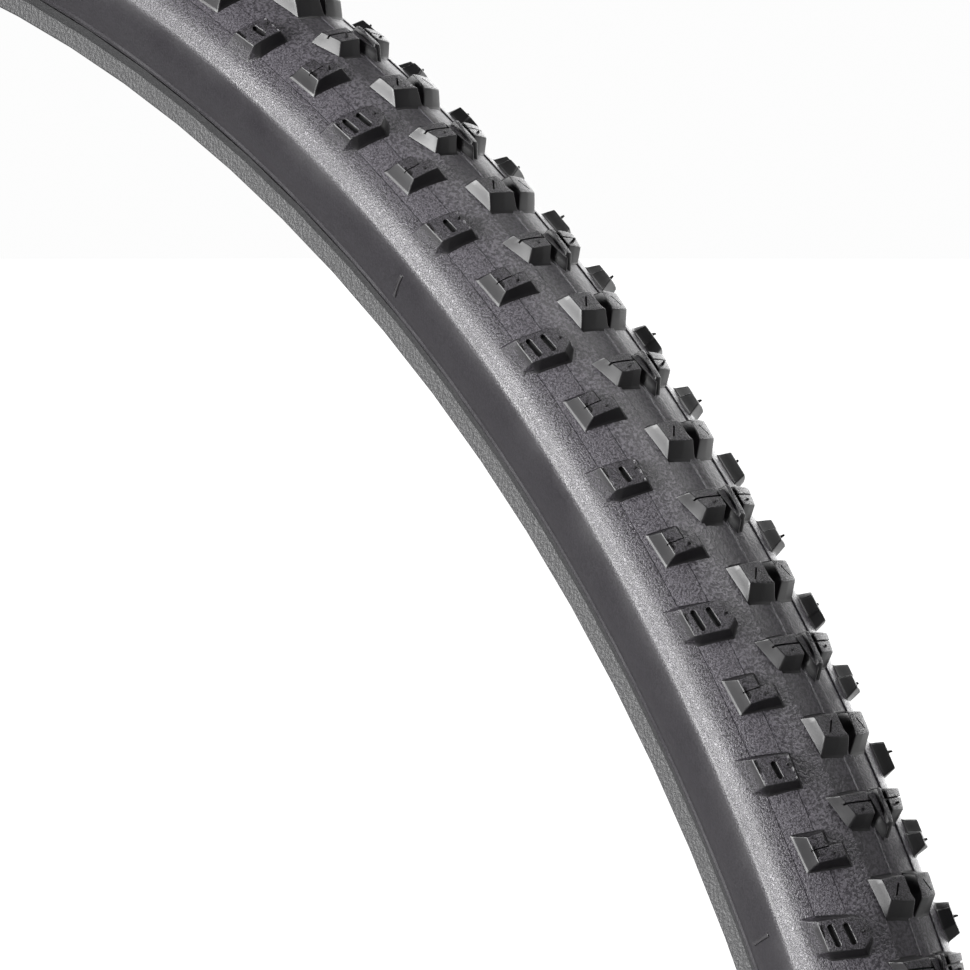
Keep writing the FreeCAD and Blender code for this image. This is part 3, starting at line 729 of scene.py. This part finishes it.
def hairs(side):
    """Short rubber whiskers left by the mould's vents, each leaning its own way."""
    vertices = []
    faces = []
    for every, first, pitches, angle in HAIRS:
        for turn in range(KNOB_PITCHES // every):
            lean = random.uniform(-0.35, 0.35)
            drift = random.uniform(-0.35, 0.35)
            length = VENT_LENGTH * random.uniform(0.15, 0.65)
            base = ((first + every * turn + pitches) * PITCH, across(angle))
            start = sum(len(block) for block in vertices)
            rings = []
            for share, width in ((-0.3, 1.3), (0.05, 0.9), (0.6, 0.7), (0.92, 0.6), (1.0, 0.35)):
                height = KNOB_HEIGHT + (share * length if share > 0 else share)
                bend = max(share, 0) ** 1.6 * length
                for step in range(HAIR_SIDES):
                    around = 2 * pi * step / HAIR_SIDES
                    rings.append((base[0] + lean * bend + VENT_RADIUS * width * cos(around),
                                  base[1] + drift * bend + VENT_RADIUS * width * sin(around), height))
            vertices.append(wrapped(rings, side == "right"))
            shell = [tuple(reversed(range(HAIR_SIDES))), tuple(range(4 * HAIR_SIDES, 5 * HAIR_SIDES))]
            for level in range(4):
                for step in range(HAIR_SIDES):
                    after = (step + 1) % HAIR_SIDES
                    low = level * HAIR_SIDES
                    high = low + HAIR_SIDES
                    shell.append((low + step, low + after, high + after, high + step))
            for face in shell:
                corners = [start + i for i in face]
                faces.append(corners[::-1] if side == "right" else corners)
    new_piece(f"vents_{side}", np.vstack(vertices), faces, KNOB_RUBBER,
              [f"vent_hairs_{side}"])


TICKS = 16
TICK_ANGLE = 107.0
TICK_LENGTH = 4.8
TICK_WIDTH = 0.7
FIRST_TICK = radians(4.2)


def ticks(side):
    """Low bars on the sidewall that mark even steps round the tyre."""
    middle = across(TICK_ANGLE)
    vertices = []
    faces = []
    for turn in range(TICKS):
        along = (FIRST_KNOB - FIRST_TICK - 2 * pi * turn / TICKS) * CROWN_RADIUS
        solid = Solid()
        rings = []
        for grow, height in ((0.12, -0.1), (0.0, 0.12), (-0.05, 0.30), (-0.16, 0.36)):
            half_width = TICK_WIDTH / 2 + grow
            half_length = TICK_LENGTH / 2 + grow
            corners = ((-half_width, -half_length), (half_width, -half_length),
                       (half_width, half_length), (-half_width, half_length))
            outline = [(along + x, middle + y) for x, y in corners]
            rings.append((solid.ring(rounded(outline, 0.15, (1, 6, 1, 6)), height), height))
        solid.faces.append(tuple(rings[0][0][::-1]))
        for (low, _), (high, _) in zip(rings, rings[1:]):
            solid.bridge(low, high)
        solid.faces.append(tuple(rings[-1][0]))
        start = sum(len(block) for block in vertices)
        vertices.append(wrapped(solid.vertices, side == "right"))
        for face in solid.faces:
            corners = [start + i for i in face]
            faces.append(corners[::-1] if side == "right" else corners)
    new_piece(f"ticks_{side}", np.vstack(vertices), faces, SMOOTH_RUBBER,
              [f"sidewall_{side}"])


for side in ("left", "right"):
    hairs(side)
    ticks(side)

# ---------------------------------------------------------------- floor, light and camera

def plain(name, colour, rough):
    n = Nodes(name)
    n.shader.inputs["Base Color"].default_value = (*colour, 1)
    n.shader.inputs["Roughness"].default_value = rough
    return n.material


bpy.ops.mesh.primitive_circle_add(vertices=64, radius=40, fill_type="NGON",
                                  location=(0, 0, cad_box[0][2] - 0.002))
floor = bpy.context.object
floor.name = "floor"
pale = plain("pale_floor", (0.35, 0.35, 0.35), 0.9)
floor.data.materials.append(pale)


# The floor glows far behind the tyre, where it meets the backdrop.
floor_tree = pale.node_tree
floor_shader = floor_tree.nodes["Principled BSDF"]
floor_shader.inputs["Emission Color"].default_value = (1, 1, 1, 1)
glow = ramp(floor_tree, axes(floor_tree, "Object")["Y"], 0.8, 2.2, 0.0, 1.1)
floor_tree.links.new(glow, floor_shader.inputs["Emission Strength"])

# A white backdrop low behind the tyre; elsewhere the world is dim and shows only in reflections.
world = bpy.data.worlds.new("studio")
bpy.context.scene.world = world
world.use_nodes = True
world_tree = world.node_tree
toward = axes(world_tree, "Generated")
behind = ramp(world_tree, toward["Y"], 0.2, 0.5, 0.0, 1.0)
low_down = ramp(world_tree, toward["Z"], 0.12, 0.4, 0.9, 0.12)
both = world_tree.nodes.new("ShaderNodeMath")
both.operation = "MULTIPLY_ADD"
world_tree.links.new(behind, both.inputs[0])
world_tree.links.new(low_down, both.inputs[1])
both.inputs[2].default_value = 0.08
background = world_tree.nodes["Background"]
background.inputs["Color"].default_value = (1.0, 1.0, 1.0, 1.0)
world_tree.links.new(both.outputs[0], background.inputs["Strength"])

LIGHT_DISTANCE = 2.4
KEY_ROLL = 39


def softbox(name, direction, width, height, power, roll=0.0):
    """A studio light that faces the tyre's centre, turned about its own axis by roll degrees."""
    lamp = bpy.data.lights.new(name, "AREA")
    lamp.shape = "RECTANGLE"
    lamp.size = width
    lamp.size_y = height
    lamp.energy = power
    item = bpy.data.objects.new(name, lamp)
    item.location = Vector(direction).normalized() * LIGHT_DISTANCE
    facing = (-item.location).to_track_quat("-Z", "Y")
    item.rotation_euler = (facing @ Quaternion((0, 0, 1), radians(roll))).to_euler()
    bpy.context.scene.collection.objects.link(item)


softbox("key_light", (-0.2, -0.95, 0.2), 1.1, 2.2, 170, KEY_ROLL)
softbox("top_light", (0.45, 0.1, 0.85), 1.2, 1.2, 26)
softbox("back_light", (-0.3, 0.9, 0.35), 2.0, 2.0, 45)

camera_data = bpy.data.cameras.new("camera")
camera_data.sensor_width = 36
camera_data.lens = 200.5
camera_data.clip_start = 0.05
camera_data.clip_end = 100
camera = bpy.data.objects.new("camera", camera_data)
camera.location = (0.8194, -0.6462, 0.2613)
pan, tilt = radians(-43.06), radians(-3.24)
ahead = Vector((sin(pan) * cos(tilt), cos(pan) * cos(tilt), sin(tilt)))
camera.rotation_euler = ahead.to_track_quat("-Z", "Y").to_euler()
bpy.context.scene.collection.objects.link(camera)
bpy.context.scene.camera = camera
bpy.context.scene.view_settings.view_transform = "Standard"
